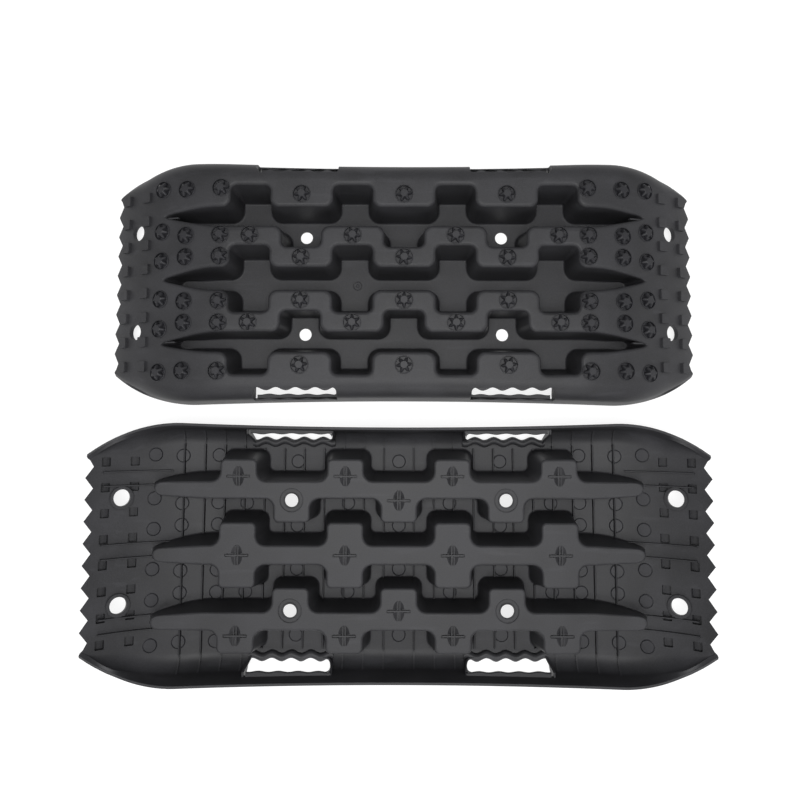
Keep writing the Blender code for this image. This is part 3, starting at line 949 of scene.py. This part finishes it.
def moulded_plastic(name, dark, light, roughness, sheen, grain):
    """Injection-moulded polypropylene: black, matt from a spark-eroded mould, faintly mottled.

    The eye gets a soft grey sheen that breaks into fine grain, with cloudier patches where the
    melt flowed and a few paler streaks along the board.  The mould's real grain is about
    0.1 mm, too fine to show, so it is drawn coarser, at the grain given in metres.
    """
    material = bpy.data.materials.new(name)
    material.use_nodes = True
    tree = material.node_tree
    tree.nodes.clear()
    place = add_node(tree, "ShaderNodeTexCoord").outputs["Object"]
    stretch = [1 / size for size in DRAG_SIZE]
    along = add_node(tree, "ShaderNodeMapping", {"Scale": stretch}, {"Vector": place})
    noises = {
        "cloud": ({"Scale": 1 / CLOUD_SIZE, "Detail": 3.0}, place),
        "speck": ({"Scale": 1 / grain, "Detail": 2.0}, place),
        "drag": ({"Scale": 1.0, "Detail": 4.0}, along.outputs["Vector"]),
    }
    noise = {}
    for part, (settings, vector) in noises.items():
        noise[part] = add_node(tree, "ShaderNodeTexNoise", settings, {"Vector": vector}).outputs["Fac"]
    tone = add_node(
        tree,
        "ShaderNodeMix",
        {"data_type": "FLOAT", "Factor": 0.45},
        {"A": noise["cloud"], "B": noise["speck"]},
    )
    streaks = add_node(
        tree,
        "ShaderNodeMapRange",
        {"From Min": 0.60, "From Max": 0.82, "To Max": 0.30},
        {"Value": noise["drag"]},
    )
    mottle = add_node(
        tree,
        "ShaderNodeMath",
        {"operation": "ADD"},
        {0: tone.outputs["Result"], 1: streaks.outputs["Result"]},
    )
    ramp = add_node(tree, "ShaderNodeValToRGB", {}, {"Fac": mottle.outputs["Value"]})
    for stop, position, colour in zip(ramp.color_ramp.elements, (0.38, 0.64), (dark, light)):
        stop.position = position
        stop.color = srgb(colour)
    rough = add_node(
        tree,
        "ShaderNodeMapRange",
        {"To Min": roughness - 0.06, "To Max": roughness + 0.08},
        {"Value": noise["cloud"]},
    )
    bump = add_node(
        tree,
        "ShaderNodeBump",
        {"Strength": 0.22, "Distance": 0.0002},
        {"Height": noise["speck"]},
    )
    shader = add_node(
        tree,
        "ShaderNodeBsdfPrincipled",
        {"IOR": 1.49, "Specular IOR Level": sheen},
        {
            "Base Color": ramp.outputs["Color"],
            "Roughness": rough.outputs["Result"],
            "Normal": bump.outputs["Normal"],
        },
    )
    add_node(tree, "ShaderNodeOutputMaterial", {}, {"Surface": shader.outputs["BSDF"]})
    return material


board_plastic = moulded_plastic("moulded_polypropylene", "#29292b", "#363639", 0.52, 0.34, 0.0012)
stud_plastic = moulded_plastic("moulded_nylon_studs", "#222225", "#2f2f33", 0.48, 0.34, 0.0009)


# ---- building and placing -------------------------------------------------------------------
def shade(mesh, angle=38):
    """Smooth shading with the edges sharper than the angle kept crisp, as a new mesh."""
    mesh.shade_smooth()
    mesh.set_sharp_from_angle(angle=math.radians(angle))
    thing = bpy.data.objects.new("shaded", mesh)
    bpy.context.scene.collection.objects.link(thing)
    weigh = thing.modifiers.new("large faces keep flat", "WEIGHTED_NORMAL")
    weigh.keep_sharp = True
    made = evaluated(thing)
    bpy.data.objects.remove(thing)
    return made


def piece(name, mesh, place, material, body):
    """Puts a mesh in the scene as a named piece that rides a body."""
    made = bpy.data.objects.new(name, mesh)
    bpy.context.scene.collection.objects.link(made)
    made.matrix_world = place
    if not mesh.materials:
        mesh.materials.append(material)
    bpy.context.view_layer.update()
    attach(made, body)
    return made


def middle_of(node):
    low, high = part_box(node)
    return [(a + b) / 2 for a, b in zip(low, high)]


sheet = shade(set_on_floor(cut(sheet_mesh(), cutter_meshes())), 32)
added = {
    "cross_ribs": cross_ribs(),
    "grips": grips(),
    "slot_end_walls": slot_end_walls(),
    "ledges": ledges(),
    "hole_collars": hole_collars(),
    "mark_crosses": mark_crosses(),
    "tread_blocks": tread_blocks(),
    "finger_ribs": finger_ribs(),
    "end_lips": set_on_floor(end_lips()),
}
added = {part: shade(mesh) for part, mesh in added.items()}
stud = shade(stud_mesh(), 40)
loose_ring = shade(floor_ring())

up_x, up_y, _ = middle_of("board_studs_up")
over_x, over_y, _ = middle_of("board_underside_up")
over_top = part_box("board_underside_up")[1][2]
UPPER = Matrix.Translation((up_x, up_y, 0))
OVER = Matrix.Translation((over_x, over_y, over_top)) @ Matrix.Rotation(math.pi, 4, "X")

for label, place, body in (("up", UPPER, "mat_studs_up"), ("over", OVER, "mat_underside_up")):
    board = piece(f"{label}_sheet", sheet, place, board_plastic, body)
    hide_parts("board_studs_up" if label == "up" else "board_underside_up")
    for part, mesh in added.items():
        piece(f"{label}_{part}", mesh, place, board_plastic, body)
    for number, (x, y) in enumerate(sorted(stud_places()), 1):
        turn = Matrix.Rotation(math.radians(STUD_TURNS[number % 3]), 4, "Z")
        turned = place @ on_deck(x, y) @ turn
        made = piece(f"{label}_stud_{number:02}", stud, turned, stud_plastic, body)
        if label == "up":
            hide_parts(f"stud_{number:02}")
piece("up_floor_ring", loose_ring, UPPER, board_plastic, "mat_studs_up")

# ---- floor, light and camera ----------------------------------------------------------------
FLOOR_HALF = 30.0
FLOOR_Z = -0.0006         # just under the marks on the ridge faces, which stand 0.5 mm proud
corners = [
    (-FLOOR_HALF, -FLOOR_HALF, 0),
    (FLOOR_HALF, -FLOOR_HALF, 0),
    (FLOOR_HALF, FLOOR_HALF, 0),
    (-FLOOR_HALF, FLOOR_HALF, 0),
]
floor_mesh = bpy.data.meshes.new("floor")
floor_mesh.from_pydata(corners, [], [(0, 1, 2, 3)])
floor = bpy.data.objects.new("floor", floor_mesh)
floor.location.z = FLOOR_Z
bpy.context.scene.collection.objects.link(floor)

# White studio paper over a light table, so that shadows on it stay faint.
paper = bpy.data.materials.new("white_paper_floor")
paper.use_nodes = True
paper_shader = paper.node_tree.nodes["Principled BSDF"]
paper_shader.inputs["Base Color"].default_value = srgb("#949494")
paper_shader.inputs["Roughness"].default_value = 0.9
paper_shader.inputs["Emission Color"].default_value = srgb("#ffffff")
paper_shader.inputs["Emission Strength"].default_value = 0.80
floor_mesh.materials.append(paper)

world = bpy.data.worlds.new("studio")
bpy.context.scene.world = world
world.use_nodes = True
world.node_tree.nodes["Background"].inputs["Color"].default_value = srgb("#ffffff")
world.node_tree.nodes["Background"].inputs["Strength"].default_value = 0.31

AIM = Vector((0.0, -0.1, 0.0))
SOFT_BOXES = {            # place, side length, watts
    "overhead_soft_box": ((0.0, -0.15, 2.0), 0.9, 28),
    "far_soft_box": ((-0.2, 2.2, 1.3), 1.3, 2),
    "near_soft_box": ((0.2, -2.2, 1.3), 1.3, 18),
    "left_soft_box": ((-2.3, 0.0, 1.2), 1.3, 6),
    "right_soft_box": ((2.3, 0.0, 1.2), 1.3, 9),
}
for name, (place, size, watts) in SOFT_BOXES.items():
    soft_box = bpy.data.lights.new(name, "AREA")
    soft_box.size = size
    soft_box.energy = watts
    lamp = bpy.data.objects.new(name, soft_box)
    lamp.location = place
    lamp.rotation_euler = (AIM - Vector(place)).to_track_quat("-Z", "Y").to_euler()
    bpy.context.scene.collection.objects.link(lamp)

CAMERA_PLACE = (-0.0015, 0.0, 0.900)
CAMERA_TURN = (0.105, 0.0, 0.0020)
SENSOR_WIDTH = 36.0        # mm
FOCAL_WIDTHS = 1.0260      # focal length as a share of the sensor's width
camera_data = bpy.data.cameras.new("camera")
camera_data.sensor_width = SENSOR_WIDTH
camera_data.lens = SENSOR_WIDTH * FOCAL_WIDTHS
camera_data.shift_y = -0.0905
camera = bpy.data.objects.new("camera", camera_data)
camera.location = CAMERA_PLACE
camera.rotation_euler = CAMERA_TURN
bpy.context.scene.collection.objects.link(camera)
bpy.context.scene.camera = camera
bpy.context.scene.view_settings.view_transform = "Standard"
